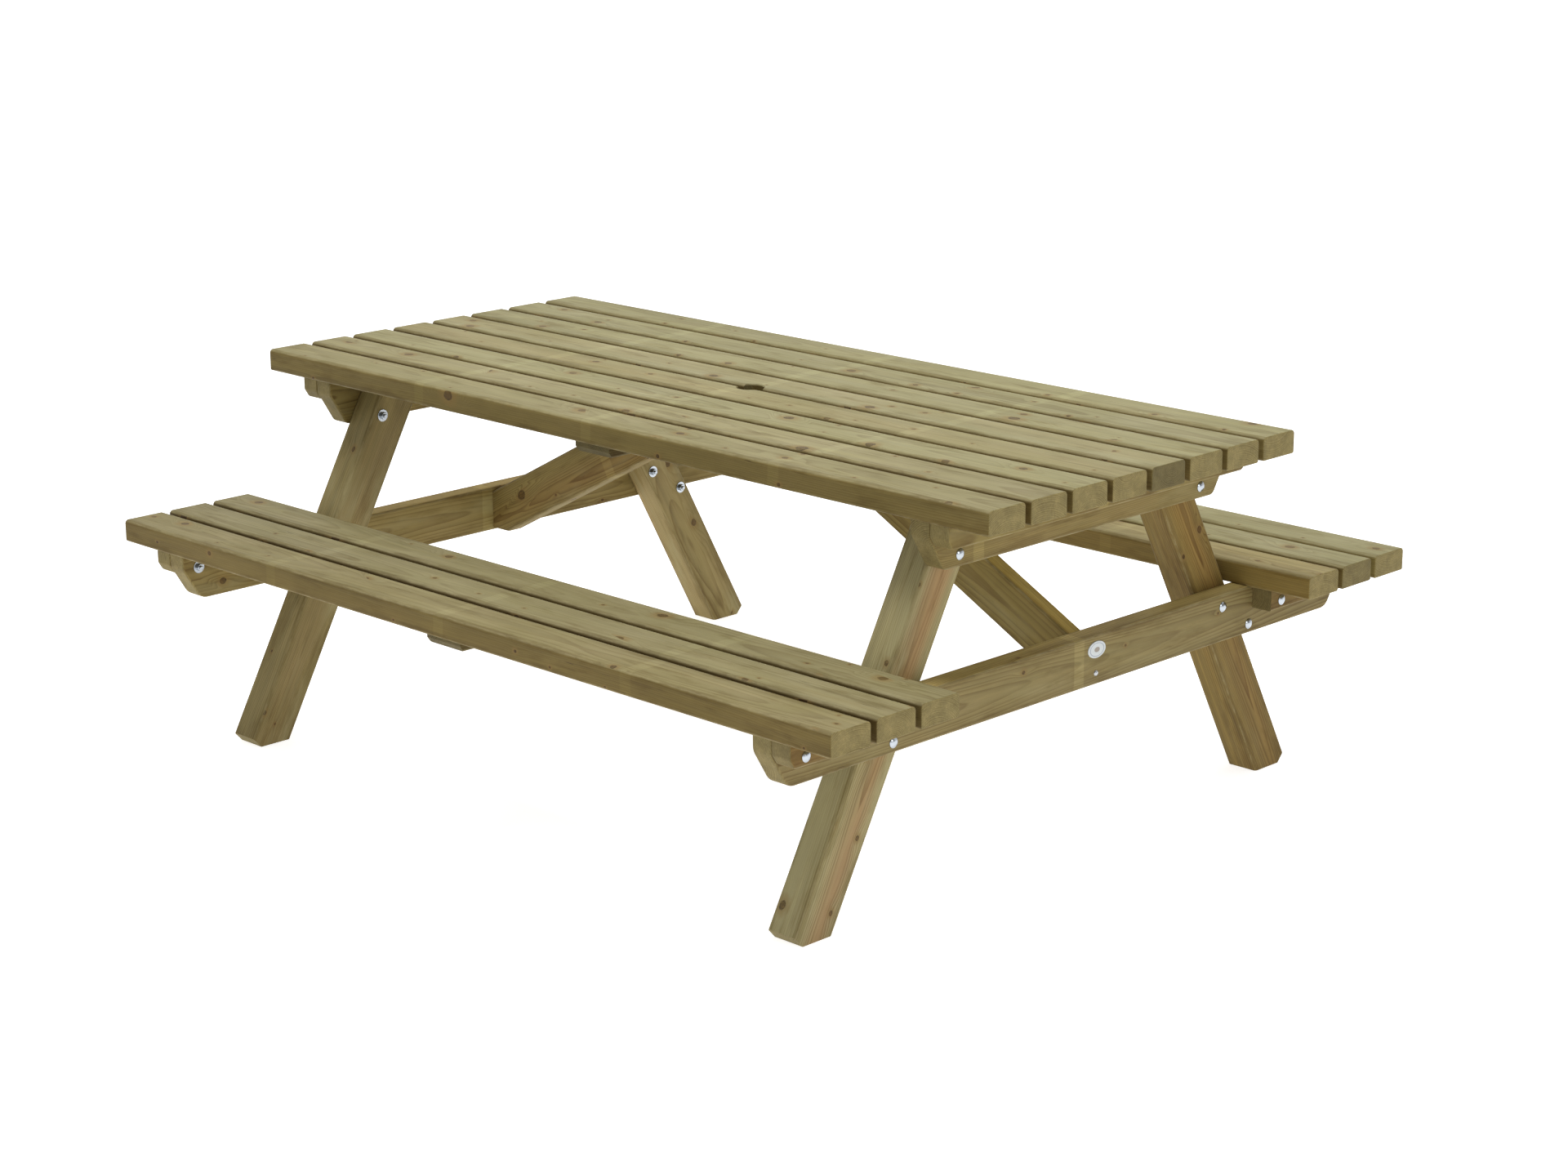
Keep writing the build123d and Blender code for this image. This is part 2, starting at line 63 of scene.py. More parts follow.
# ---- node trees ---------------------------------------------------------------------------------
class Graph:
    """Short ways to add nodes to one tree and to wire them."""

    def __init__(self, tree):
        self.tree = tree

    def add(self, kind, **settings):
        node = self.tree.nodes.new(kind)
        for key, value in settings.items():
            setattr(node, key, value)
        return node

    def feed(self, socket, value):
        if isinstance(value, bpy.types.NodeSocket):
            self.tree.links.new(value, socket)
        else:
            socket.default_value = value

    def math(self, operation, *values, clamp=False):
        node = self.add("ShaderNodeMath", operation=operation, use_clamp=clamp)
        for socket, value in zip(node.inputs, values):
            self.feed(socket, value)
        return node.outputs[0]

    def vector(self, operation, *values):
        node = self.add("ShaderNodeVectorMath", operation=operation)
        for socket, value in zip(node.inputs, values):
            self.feed(socket, value)
        scalar = operation in ("LENGTH", "DOT_PRODUCT", "DISTANCE")
        return node.outputs["Value" if scalar else "Vector"]

    def scaled(self, vector, factor):
        node = self.add("ShaderNodeVectorMath", operation="SCALE")
        self.feed(node.inputs[0], vector)
        self.feed(node.inputs["Scale"], factor)
        return node.outputs["Vector"]

    def split(self, vector):
        node = self.add("ShaderNodeSeparateXYZ")
        self.feed(node.inputs[0], vector)
        return node.outputs

    def join(self, *parts):
        node = self.add("ShaderNodeCombineXYZ")
        for socket, value in zip(node.inputs, parts):
            self.feed(socket, value)
        return node.outputs[0]

    def noise(self, place, stretch, detail=2.0, roughness=0.5, output="Fac"):
        node = self.add("ShaderNodeTexNoise")
        self.feed(node.inputs["Vector"], self.vector("MULTIPLY", place, stretch))
        self.feed(node.inputs["Scale"], 1.0)
        self.feed(node.inputs["Detail"], detail)
        self.feed(node.inputs["Roughness"], roughness)
        return node.outputs[output]

    def voronoi(self, place, feature):
        node = self.add("ShaderNodeTexVoronoi", feature=feature, voronoi_dimensions="2D")
        self.feed(node.inputs["Vector"], place)
        self.feed(node.inputs["Scale"], 1.0)
        return node.outputs

    def step(self, value, start, end, low=0.0, high=1.0):
        """Goes smoothly from low to high as the value goes from start to end."""
        node = self.add("ShaderNodeMapRange", interpolation_type="SMOOTHSTEP")
        for socket, item in zip(node.inputs, (value, start, end, low, high)):
            self.feed(socket, item)
        return node.outputs[0]

    def mix(self, factor, first, second, mode="MIX"):
        node = self.add("ShaderNodeMix", data_type="RGBA", blend_type=mode)
        colours = [socket for socket in node.inputs if socket.type == "RGBA"]
        self.feed(node.inputs[0], factor)
        self.feed(colours[0], first)
        self.feed(colours[1], second)
        return [socket for socket in node.outputs if socket.type == "RGBA"][0]

    def swing(self, value, amount):
        """A factor about 1 that follows a noise value about 0.5."""
        return self.math("MULTIPLY_ADD", self.math("SUBTRACT", value, 0.5), amount, 1.0)


def rgb(red, green, blue):
    """A colour given as it looks on a screen, from 0 to 255, as linear light."""
    return tuple(((c / 255 + 0.055) / 1.055) ** 2.4 for c in (red, green, blue)) + (1.0,)


# ---- softwood -----------------------------------------------------------------------------------
RING = 0.0034  # one year's growth
TAPER = 0.007  # how much a trunk's radius grows per metre of its length
WANDER = 0.05  # how far the pith strays across a timber
HEART_EDGE = 0.030  # the red heartwood's radius
KNOT_CELL = (0.15, 0.052, 1.0)  # each face is laid out in cells of this size, and some hold a knot
KNOT_SMALLEST = 0.0022  # the smallest knot's radius
KNOT_SPREAD = 0.0085  # how much larger the largest one's is
KNOT_STRETCH = (0.8, 1.0, 1.0)  # knots are a little longer along the grain
BULGE_STRETCH = (0.30, 1.0, 1.0)  # and the rings round them much longer
KNOT_EDGE = 1.15  # how far out a knot's own wood reaches, in its radii
FAR = 9.0  # a knot's distance, in its own radii, where there is none
BAND_FADES, BAND_FULL = 0.0155, 0.0120  # half a sticker band's width, with and without its soft edge
ARRIS = 0.006  # how far in from an arris the wear and the painted highlight reach
SEED_STEP = (13.7, 7.9, 5.3)  # how far apart the noises of two timbers are

# Tints, which are multiplied into the wood's colour.
LATE_WOOD = (0.43, 0.32, 0.21, 1.0)
# Staining, which towards the arrises is also painted shade.
STAIN_AND_EDGE_SHADE = (0.56, 0.49, 0.34, 1.0)
STICKER_PALE = (1.32, 1.38, 1.42, 1.0)
# Painted shade on sideways faces, browner and darker.
SIDE_PAINTED_SHADE = (0.66, 0.56, 0.35, 1.0)
# Painted shade on the faces in the gaps between planks.
GAP_PAINTED_SHADE = (0.50, 0.42, 0.32, 1.0)
# Painted light on the tops of the cross timbers under the table top.
TOP_PAINTED_LIGHT = (2.4, 2.35, 2.1, 1.0)
KNOT_BROWN = (0.58, 0.42, 0.24, 1.0)

# Colours that lie over it.
BLOOM = rgb(157, 149, 109)
CHECK = rgb(48, 34, 18)
KNOT_HALO = rgb(128, 102, 56)
KNOT_RING = rgb(74, 50, 20)
KNOT_SPECK = rgb(50, 33, 12)
KNOT_RIM = rgb(42, 27, 10)
# Pale arris colour: partly scuffed wear, partly painted highlight.
WORN_AND_HIGHLIGHT = rgb(158, 146, 108)
END_EARLY = rgb(134, 121, 78)
END_LATE = rgb(84, 71, 34)


def add_inputs(group, kinds):
    for name, kind in kinds.items():
        group.interface.new_socket(name, in_out="INPUT", socket_type=kind)


class SoftwoodGraph(Graph):
    """The steps that build up treated softwood in a timber's own frame: x runs along the grain."""

    def __init__(self, tree):
        super().__init__(tree)
        self.given = self.add("NodeGroupInput").outputs
        self.place = self.given["Place"]
        self.seeded = self.vector("ADD", self.place, self.scaled(SEED_STEP, self.given["Seed"]))
        self.normal = self.add("ShaderNodeNewGeometry").outputs["Normal"]
        self.sawn = self.step(self.facing("Grain direction"), 0.45, 0.75)

    def facing(self, direction):
        """How squarely a face looks along one of the timber's directions, either way."""
        return self.math("ABSOLUTE", self.vector("DOT_PRODUCT", self.normal, self.given[direction]))

    def own_noise(self, *settings):
        """A noise that differs from timber to timber."""
        return self.noise(self.seeded, *settings)

    def tint(self, factor, colour):
        """Multiplies a tint into the colour so far."""
        self.colour = self.mix(factor, self.colour, self.mix(1.0, self.colour, colour, "MULTIPLY"))

    def cover(self, factor, colour):
        """Lays another colour over the colour so far."""
        self.colour = self.mix(factor, self.colour, colour)

    def knot_cells(self):
        """Where a point lies in the grid of cells that is laid over each face of the timber."""
        broad_face = self.math("GREATER_THAN", self.facing("Thickness direction"), 0.6)
        along, across, through = self.split(self.seeded)
        crosswise = self.math("MULTIPLY", broad_face, self.math("SUBTRACT", across, through))
        crosswise = self.math("ADD", crosswise, through)
        return self.vector("DIVIDE", self.join(along, crosswise, 0.0), KNOT_CELL)

    def scatter_knots(self):
        """Knots in some of the cells, and the growth rings swinging aside for them."""
        cells = self.knot_cells()
        nearest = self.voronoi(cells, "F1")
        edge = self.voronoi(cells, "DISTANCE_TO_EDGE")["Distance"]
        away = self.vector("SUBTRACT", cells, nearest["Position"])
        away = self.vector("MULTIPLY", away, KNOT_CELL)
        chance, bulk, self.age = self.split(nearest["Color"])
        radius = self.math("POWER", bulk, 2.5)
        radius = self.math("MULTIPLY_ADD", radius, KNOT_SPREAD, KNOT_SMALLEST)
        present = self.math("LESS_THAN", chance, self.given["Knots"])
        fade = self.math("MULTIPLY", self.step(edge, 0.02, 0.16), present)

        ragged = self.swing(self.own_noise((90.0, 130.0, 130.0), 2.0), 0.5)
        core = self.vector("LENGTH", self.vector("MULTIPLY", away, KNOT_STRETCH))
        core = self.math("MULTIPLY", self.math("DIVIDE", core, radius), ragged)
        self.core = self.math("ADD", core, self.step(fade, 0.9, 0.0, 0.0, FAR))

        flow = self.vector("LENGTH", self.vector("MULTIPLY", away, BULGE_STRETCH))
        flow = self.math("DIVIDE", flow, radius)
        flow = self.math("MULTIPLY", self.math("MULTIPLY", flow, flow), -0.22)
        bulge = self.math("MULTIPLY", self.math("POWER", 2.718, flow), self.math("MULTIPLY", radius, 1.1))
        self.aside = self.math("MULTIPLY", bulge, fade)

    def grow_rings(self):
        """Growth rings about the pith, which wanders a little along the timber."""
        stray = self.split(self.own_noise((0.9, 3.0, 3.0), 2.0, 0.45, "Color"))
        x, y, z = self.split(self.vector("SUBTRACT", self.place, self.given["Pith"]))
        y = self.math("ADD", y, self.math("MULTIPLY_ADD", stray[0], WANDER, -WANDER / 2))
        z = self.math("ADD", z, self.math("MULTIPLY_ADD", stray[1], WANDER, -WANDER / 2))
        trunk = self.vector("LENGTH", self.join(0.0, y, z))
        trunk = self.math("MULTIPLY_ADD", x, TAPER, trunk)
        trunk = self.math("ADD", trunk, self.aside)
        self.ripple = self.own_noise((7.0, 38.0, 38.0), 2.0)
        self.trunk = self.math("MULTIPLY_ADD", self.ripple, 0.0014, trunk)
        years = self.math("DIVIDE", self.trunk, RING)
        rhythm = self.noise(self.join(years, self.given["Seed"], 0.0), (0.45, 1.0, 1.0), 1.0)
        self.season = self.math("FRACT", self.math("MULTIPLY_ADD", rhythm, 1.6, years))
        late = self.math("POWER", self.season, 2.4)
        late = self.math("MULTIPLY", late, self.step(self.season, 1.0, 0.9))
        clarity = self.step(self.own_noise((1.3, 14.0, 14.0), 2.0), 0.30, 0.66, 0.45, 1.0)
        self.late = self.math("MULTIPLY", late, clarity)

    def lay_grain(self):
        """Sapwood and red heartwood with patches, streaks, fibres and dark late wood."""
        self.fibre = self.own_noise((14.0, 620.0, 620.0), 2.0, 0.6)
        self.streak = self.own_noise((1.7, 85.0, 85.0), 3.0, 0.6)
        broad = self.own_noise((0.8, 17.0, 17.0), 2.0, 0.5)
        patch = self.own_noise((5.0, 13.0, 13.0), 3.0, 0.55)
        blotch = self.own_noise((22.0, 45.0, 45.0), 3.0, 0.6)
        red = self.step(self.trunk, HEART_EDGE * 1.7, HEART_EDGE * 0.7)
        red = self.math("MULTIPLY", red, self.step(broad, 0.30, 0.62, 0.45, 1.0))
        red = self.math("MAXIMUM", red, self.step(broad, 0.62, 0.78, 0.0, 0.55))
        red = self.math("MULTIPLY", red, self.given["Red"])
        self.colour = self.mix(red, self.given["Sapwood"], self.given["Heartwood"])
        tone = self.math("MULTIPLY", self.swing(patch, self.given["Mottle"]), self.swing(blotch, 0.10))
        tone = self.math("MULTIPLY", tone, self.swing(broad, 0.30))
        grain = self.swing(self.streak, self.given["Grain contrast"])
        grain = self.math("MULTIPLY", grain, self.swing(self.fibre, 0.32))
        tone = self.math("MULTIPLY", tone, grain)
        blue = self.math("MULTIPLY", tone, self.swing(patch, 0.30))
        self.tint(1.0, self.join(tone, tone, blue))
        self.tint(self.math("MULTIPLY", self.late, self.given["Ring contrast"]), LATE_WOOD)

    def weather_and_shade_edges(self):
        """A pale bloom in places, and dark staining in patches and towards the ends; towards the arrises
        the darkening is partly staining and partly painted shade.
        """
        inset = self.vector("SUBTRACT", self.given["Half size"], self.vector("ABSOLUTE", self.place))
        from_end, inset_y, inset_z = self.split(inset)
        self.from_arris = self.math("MAXIMUM", inset_y, inset_z)
        bloom = self.step(self.own_noise((3.2, 16.0, 16.0), 3.0, 0.6), 0.50, 0.72)
        self.cover(self.math("MULTIPLY", bloom, self.given["Bloom"]), BLOOM)
        stain_and_edge_shade = self.own_noise((6.5, 34.0, 34.0), 4.0, 0.65)
        # Darker towards the arrises: partly staining, partly painted shade where the rounded edges turn
        # from the light.
        stain_and_edge_shade = self.math("ADD", stain_and_edge_shade, self.step(self.from_arris, 0.014, 0.001, 0.0, 0.17))
        stain_and_edge_shade = self.math("ADD", stain_and_edge_shade, self.step(from_end, 0.12, 0.0, 0.0, 0.06))
        self.tint(self.math("MULTIPLY", self.step(stain_and_edge_shade, 0.50, 0.74), self.given["Stain and edge shade"]), STAIN_AND_EDGE_SHADE)

    def mark_stickers(self):
        """Pale bands where stickers lay across the timber while it was treated."""
        along = self.split(self.place)[0]
        along = self.math("ADD", along, self.math("MULTIPLY_ADD", self.ripple, 0.004, -0.002))
        band = 0.0
        for middle in self.split(self.given["Bands"]):
            apart = self.math("ABSOLUTE", self.math("SUBTRACT", along, middle))
            band = self.math("ADD", self.step(apart, BAND_FADES, BAND_FULL), band)
        self.tint(self.math("MULTIPLY", band, self.given["Band strength"]), STICKER_PALE)

    def shade_by_facing(self):
        """Painted shade and light by facing: sideways faces get a browner, darker painted shade.

        Gaps between planks get too much light from the glowing floor, so their faces get more painted
        shade.
        The cross timbers' tops, under the table top, get too little, so theirs get painted light.
        """
        up = self.split(self.normal)[2]
        sideways = self.step(up, 0.85, 0.25)
        # Painted shade on sideways faces.
        self.tint(self.math("MULTIPLY", sideways, self.given["Side painted shade"]), SIDE_PAINTED_SHADE)
        # More painted shade on the faces in the gaps.
        in_gap = self.math("MULTIPLY", sideways, self.math("SUBTRACT", 1.0, self.sawn))
        self.tint(self.math("MULTIPLY", in_gap, self.given["Gap shade"]), GAP_PAINTED_SHADE)
        # Painted light on upward faces.
        self.tint(self.math("MULTIPLY", self.step(up, 0.6, 0.9), self.given["Top painted light"]), TOP_PAINTED_LIGHT)

    def open_checks(self):
        """Short dark checks that follow the fibres."""
        zone = self.step(self.own_noise((2.6, 12.0, 12.0), 1.0), 0.50, 0.60)
        check = self.step(self.own_noise((16.0, 330.0, 330.0), 1.0), 0.755, 0.80)
        self.check = self.math("MULTIPLY", check, zone)
        self.cover(self.math("MULTIPLY", self.check, 0.65), CHECK)

    def colour_knots(self):
        """A brown heart in the wood's own tone, with dark specks and rim, in a warm halo."""
        core, age = self.core, self.age
        halo = self.math("MULTIPLY", self.step(core, 3.2, 1.0), self.step(core, 0.85, 1.1))
        self.cover(self.math("MULTIPLY", halo, 0.5), KNOT_HALO)
        rings = self.math("FRACT", self.math("MULTIPLY", core, 2.7))
        specks = self.step(self.own_noise((300.0, 300.0, 300.0), 3.0, 0.75), 0.42, 0.60)
        heart = self.mix(1.0, self.colour, KNOT_BROWN, "MULTIPLY")
        heart = self.mix(self.math("MULTIPLY", rings, 0.5), heart, KNOT_RING)
        darkness = self.math("MULTIPLY", specks, self.step(age, 0.2, 0.7, 0.2, 0.75))
        heart = self.mix(darkness, heart, KNOT_SPECK)
        self.rim = self.math("MULTIPLY", self.step(core, 0.60, 0.90), self.step(core, KNOT_EDGE, 1.0))
        rim_depth = self.math("MULTIPLY_ADD", specks, 0.55, self.step(age, 0.2, 0.8, 0.1, 0.42))
        heart = self.mix(self.math("MULTIPLY", self.rim, rim_depth), heart, KNOT_RIM)
        self.inside = self.step(core, KNOT_EDGE, 0.85)
        self.cover(self.math("MULTIPLY", self.inside, 0.88), heart)

    def scuff_and_highlight_arrises(self):
        """Arrises are scuffed pale: partly wear, partly a painted highlight."""
        arris = self.step(self.from_arris, ARRIS, 0.001)
        scuffed = self.step(self.own_noise((30.0, 160.0, 160.0), 3.0, 0.7), 0.42, 0.62)
        # A pale line on every arris, partly scuffed wear and partly painted highlight.
        worn_and_highlight = self.math("MULTIPLY", arris, self.math("MULTIPLY_ADD", scuffed, 0.38, 0.14))
        self.cover(worn_and_highlight, WORN_AND_HIGHLIGHT)

    def saw_ends(self):
        """Sawn ends show their rings and soak up the treatment unevenly."""
        depth = self.step(self.own_noise((10.0, 26.0, 26.0), 2.0), 0.35, 0.65, 0.25, 0.75)
        rings = self.math("MULTIPLY", self.math("POWER", self.season, 1.5), depth)
        end = self.mix(rings, END_EARLY, END_LATE)
        grit = self.own_noise((260.0, 260.0, 260.0), 3.0, 0.7)
        blot = self.own_noise((30.0, 48.0, 48.0), 3.0, 0.6)
        tone = self.math("MULTIPLY", self.swing(blot, 0.9), self.swing(grit, 0.8))
        tone = self.math("MULTIPLY", tone, self.given["End tone"])
        end = self.mix(1.0, end, self.join(tone, tone, tone), "MULTIPLY")
        self.cover(self.math("MULTIPLY", self.sawn, 0.85), end)

    def roughness(self):
        rough = self.math("MULTIPLY_ADD", self.streak, 0.16, 0.56)
        return self.math("MULTIPLY_ADD", self.inside, -0.10, rough)

    def height(self):
        """Fibres and late wood stand proud, checks and knot rims are cracks, ends bear saw marks."""
        height = self.math("MULTIPLY", self.streak, 0.8)
        saw_marks = self.math("MULTIPLY", self.sawn, self.own_noise((1.0, 24.0, 420.0), 1.0))
        parts = {self.fibre: 0.55, self.late: 0.5, self.check: -2.5, self.rim: -1.2, saw_marks: 1.4}
        for part, share in parts.items():
            height = self.math("MULTIPLY_ADD", part, share, height)
        return height


def softwood_group():
    """The node group that every timber's material uses."""
    group = bpy.data.node_groups.new("treated_softwood", "ShaderNodeTree")
    vectors = ("Place", "Half size", "Pith", "Bands", "Grain direction", "Thickness direction")
    scalars = (
        *("Seed", "Knots", "Ring contrast", "Grain contrast", "Red", "Mottle"),
        *("Band strength", "Side painted shade", "Gap shade", "Top painted light", "Bloom", "Stain and edge shade", "End tone"),
    )
    add_inputs(group, {name: "NodeSocketVector" for name in vectors})
    add_inputs(group, {name: "NodeSocketFloat" for name in scalars})
    add_inputs(group, {"Sapwood": "NodeSocketColor", "Heartwood": "NodeSocketColor"})
    group.interface.new_socket("Color", in_out="OUTPUT", socket_type="NodeSocketColor")
    for name in ("Roughness", "Height"):
        group.interface.new_socket(name, in_out="OUTPUT", socket_type="NodeSocketFloat")

    wood = SoftwoodGraph(group)
    wood.scatter_knots()
    wood.grow_rings()
    wood.lay_grain()
    wood.weather_and_shade_edges()
    wood.mark_stickers()
    wood.shade_by_facing()
    wood.open_checks()
    wood.colour_knots()
    wood.scuff_and_highlight_arrises()
    wood.saw_ends()
    out = wood.add("NodeGroupOutput").inputs
    wood.feed(out["Color"], wood.colour)
    wood.feed(out["Roughness"], wood.roughness())
    wood.feed(out["Height"], wood.height())
    return group


SOFTWOOD = softwood_group()

# What a kind of timber looks like, and what single ones have of their own.
NOWHERE = 9.0  # past any timber's end, for a band that it hasn't got
PLANK = {
    "Sapwood": rgb(144, 138, 100),
    "Heartwood": rgb(141, 125, 82),
    "Knots": 0.5,
    "Ring contrast": 0.5,
    "Grain contrast": 0.4,
    "Red": 0.25,
    "Mottle": 0.35,
    "Bloom": 0.25,
    "Stain and edge shade": 0.6,
    "Band strength": 0.35,
    "Side painted shade": 1.0,
    "Gap shade": 0.65,
    "Top painted light": 0.0,
    "End tone": 1.0,
}
FRAME_TIMBER = {
    "Sapwood": rgb(141, 126, 76),
    "Heartwood": rgb(140, 106, 56),
    "Knots": 0.3,
    "Ring contrast": 0.95,
    "Grain contrast": 0.45,
    "Red": 0.5,
    "Mottle": 0.4,
    "Bloom": 0.35,
    "Stain and edge shade": 0.6,
    "Band strength": 0.8,
    "Side painted shade": 0.3,
    "Gap shade": 0.0,
    "Top painted light": 0.8,
    "End tone": 0.92,
}
LEG = {
    "Sapwood": rgb(136, 124, 78),
    "Heartwood": rgb(146, 118, 74),
    "Knots": 0.3,
    "Ring contrast": 0.8,
    "Grain contrast": 0.55,
    "Red": 0.55,
    "Mottle": 0.35,
    "Bloom": 0.5,
    "Stain and edge shade": 0.6,
    "Band strength": 0.0,
    "Side painted shade": 0.0,
    "Gap shade": 0.0,
    "Top painted light": 0.0,
    "End tone": 1.0,
}
OWN = {
    "leg_right_front": {
        "Sapwood": rgb(154, 145, 104),
        "Heartwood": rgb(150, 121, 82),
        "Pith": (0.0, 0.0, 0.055),
        "Red": 1.0,
        "Bloom": 0.7,
        "Knots": 0.2,
    },
    "leg_right_back": {
        "Sapwood": rgb(128, 108, 58),
        "Heartwood": rgb(132, 102, 52),
        "Ring contrast": 1.0,
        "Grain contrast": 1.0,
        "Bloom": 0.1,
    },
    "leg_left_front": {"Sapwood": rgb(138, 125, 82), "Heartwood": rgb(134, 109, 70), "Red": 0.25},
    # Lighter than the other frame timbers: painted light, for the table top's shade over the left end.
    "seat_beam_left": {"Sapwood": rgb(150, 134, 84), "Heartwood": rgb(150, 116, 64)},
    "middle_batten_front": {"Sapwood": rgb(104, 92, 54), "Heartwood": rgb(98, 80, 46), "End tone": 0.5},
    "middle_batten_top": {"Sapwood": rgb(108, 96, 58), "Heartwood": rgb(100, 84, 48), "End tone": 0.5},
    "top_beam_right": {"Bands": (-0.29, NOWHERE, NOWHERE), "Sapwood": rgb(138, 124, 78), "Red": 0.1},
    "seat_beam_right": {"Bands": (-0.008, NOWHERE, NOWHERE), "Sapwood": rgb(137, 124, 82), "Red": 0.3},
    "seat_batten_right_front": {"Sapwood": rgb(134, 110, 62), "Knots": 0.05, "End tone": 0.72},
    "seat_batten_right_back": {"Sapwood": rgb(124, 104, 58), "End tone": 0.72},
    "brace_right": {"Sapwood": rgb(136, 120, 68), "Heartwood": rgb(134, 102, 50)},
    # Lighter than the other legs: painted light, for the table top's shade over the far left leg.
    "leg_left_back": {"Sapwood": rgb(150, 134, 88), "Heartwood": rgb(158, 130, 84)},
    "seat_plank_front_3": {"Sapwood": rgb(134, 124, 86), "Heartwood": rgb(131, 112, 74), "Gap shade": 0.0},
    "seat_plank_front_2": {"Sapwood": rgb(136, 128, 92)},
    "seat_plank_front_1": {"Sapwood": rgb(134, 126, 90), "Gap shade": 0.4},
    "seat_plank_back_1": {"Sapwood": rgb(150, 137, 92), "Heartwood": rgb(150, 122, 72), "Gap shade": 0.0},
    "seat_plank_back_3": {"Gap shade": 0.0},
    "top_plank_1": {"Sapwood": rgb(138, 130, 92), "Gap shade": 0.0},
    "top_plank_8": {"Gap shade": 0.3},
    "top_plank_2": {"Sapwood": rgb(141, 133, 96)},
    "top_plank_4": {"Sapwood": rgb(142, 134, 95)},
    "top_plank_5": {"Sapwood": rgb(146, 140, 104), "End tone": 0.55},
    "top_plank_7": {"Sapwood": rgb(143, 137, 100)},
    "seat_plank_back_2": {"End tone": 0.75},
}

PITH_OFF_CENTRE = 0.4  # how far sideways the pith may lie, as a share of the timber's half width
PITH_DEPTHS = (0.03, 0.09)  # how far from the middle it may lie, through the thickness
STICKERS = (-0.5, 0.0, 0.5)  # where stickers lay, measured from a timber's middle
STICKER_STRAY = 0.012  # how far off they may lie
RELIEF, RELIEF_DEPTH = 0.35, 0.0006  # how strongly the grain stands out, and how deep it is


def family(name):
    if "plank" in name:
        return PLANK
    return LEG if name.startswith("leg") else FRAME_TIMBER


def softwood(name, seed):
    """One timber's own piece of softwood."""
    along, across, through = directions(name)
    reach = [extent(name, direction) for direction in (along, across, through)]
    centre = [(low + high) / 2 for low, high in reach]
    half = [(high - low) / 2 for low, high in reach]
    random.seed(seed)
    pith_y = random.uniform(-PITH_OFF_CENTRE, PITH_OFF_CENTRE) * half[1]
    pith_z = random.choice((-1, 1)) * random.uniform(*PITH_DEPTHS)
    values = {
        "Half size": half,
        "Pith": (0.0, pith_y, pith_z),
        "Seed": float(seed),
        "Grain direction": along,
        "Thickness direction": through,
        "Bands": [place + random.uniform(-STICKER_STRAY, STICKER_STRAY) for place in STICKERS],
        **family(name),
        **OWN.get(name, {}),
    }

    material = bpy.data.materials.new(f"softwood_{name}")
    material.use_nodes = True
    g = Graph(material.node_tree)
    here = g.add("ShaderNodeTexCoord").outputs["Object"]
    own = [g.vector("DOT_PRODUCT", here, axis) for axis in (along, across, through)]
    wood = g.add("ShaderNodeGroup", node_tree=SOFTWOOD)
    values["Place"] = g.vector("SUBTRACT", g.join(*own), centre)
    for key, value in values.items():
        g.feed(wood.inputs[key], value)
    shader = material.node_tree.nodes["Principled BSDF"]
    bump = g.add("ShaderNodeBump")
    g.feed(bump.inputs["Strength"], RELIEF)
    g.feed(bump.inputs["Distance"], RELIEF_DEPTH)
    g.feed(bump.inputs["Height"], wood.outputs["Height"])
    g.feed(shader.inputs["Base Color"], wood.outputs["Color"])
    g.feed(shader.inputs["Roughness"], wood.outputs["Roughness"])
    g.feed(shader.inputs["Normal"], bump.outputs["Normal"])
    g.feed(shader.inputs["Specular IOR Level"], 0.16)
    return material


# ---- zinc and the badge -------------------------------------------------------------------------
def zinc(name, tint, roughness):
    """Zinc-plated steel: smooth, with faint clouds and fine scratches."""
    material = bpy.data.materials.new(name)
    material.use_nodes = True
    g = Graph(material.node_tree)
    here = g.add("ShaderNodeTexCoord").outputs["Object"]
    clouds = g.noise(here, (160.0, 160.0, 160.0), 3.0, 0.6)
    scratches = g.noise(here, (900.0, 900.0, 2600.0), 2.0, 0.6)
    shader = material.node_tree.nodes["Principled BSDF"]
    tone = g.swing(clouds, 0.22)
    colour = g.mix(1.0, rgb(*tint), g.join(tone, tone, g.swing(clouds, 0.12)), "MULTIPLY")
    bump = g.add("ShaderNodeBump")
    g.feed(bump.inputs["Strength"], 0.15)
    g.feed(bump.inputs["Distance"], 0.0002)
    g.feed(bump.inputs["Height"], g.math("ADD", clouds, g.math("MULTIPLY", scratches, 0.4)))
    g.feed(shader.inputs["Base Color"], colour)
    g.feed(shader.inputs["Metallic"], 1.0)
    g.feed(shader.inputs["Roughness"], g.math("MULTIPLY_ADD", clouds, 0.14, roughness))
    g.feed(shader.inputs["Normal"], bump.outputs["Normal"])
    return material


BADGE_WHITE, BADGE_DUSTY = rgb(196, 201, 202), rgb(172, 174, 164)
BADGE_RING, BADGE_SPOT = rgb(122, 130, 148), rgb(126, 108, 88)


